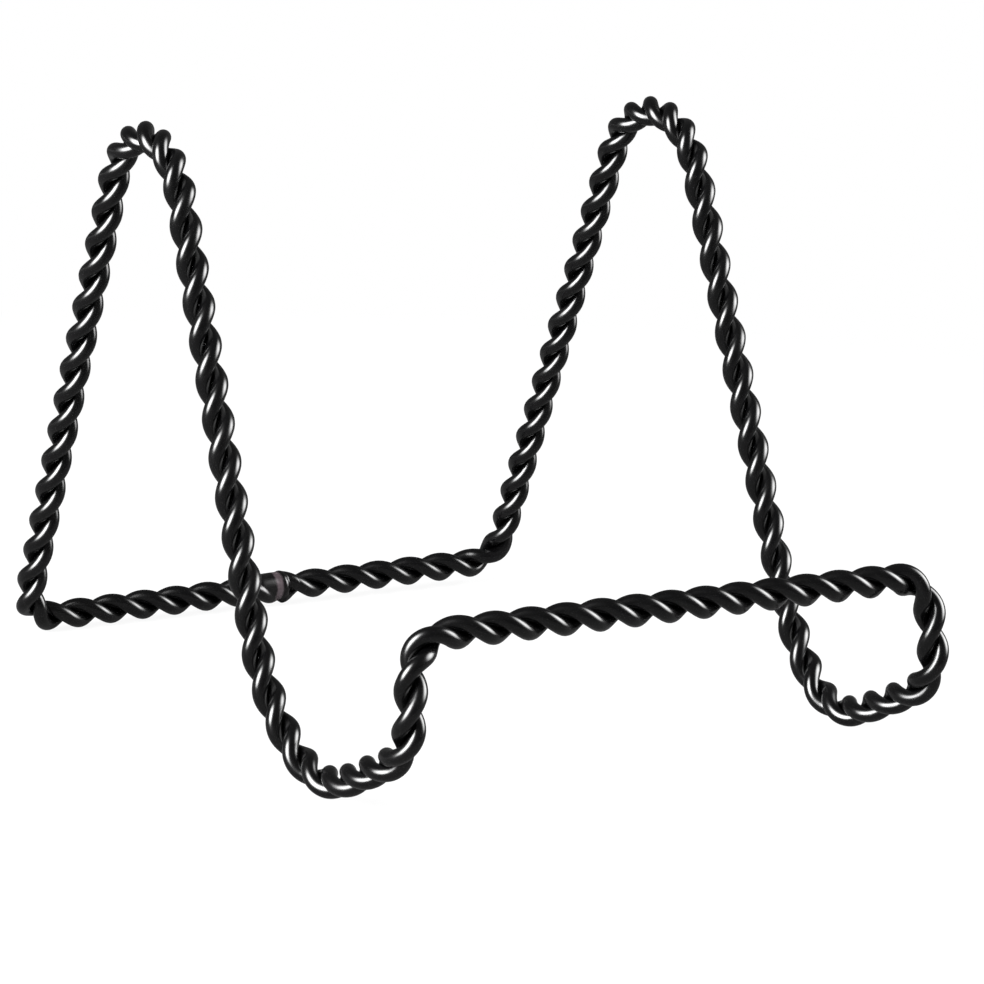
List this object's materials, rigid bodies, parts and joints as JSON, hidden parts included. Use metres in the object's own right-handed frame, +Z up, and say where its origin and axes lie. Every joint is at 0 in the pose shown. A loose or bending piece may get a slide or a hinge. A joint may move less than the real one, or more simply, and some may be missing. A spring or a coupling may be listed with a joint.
{
  "type": "wire display easel",
  "caption": "Small tabletop easel bent from one closed loop of twisted two-strand wire, with hooked feet in front that hold a plate or picture upright.",
  "frame": {"origin": "middle of the footprint at table height", "axes": "+Z up, +Y towards the back crossbar, -Y towards the hooked feet that the plate stands on, +X to the right as seen from the plate side"},
  "size_m": [0.1228, 0.1569, 0.111],
  "materials": {
    "wire_enamel": "gloss black enamel",
    "weld_enamel": "gloss black enamel over a weld"
  },
  "bodies": {
    "root": {"wire_first": "wire_enamel", "wire_second": "wire_enamel", "weld_bead": "weld_enamel"}
  },
  "joints": []
}
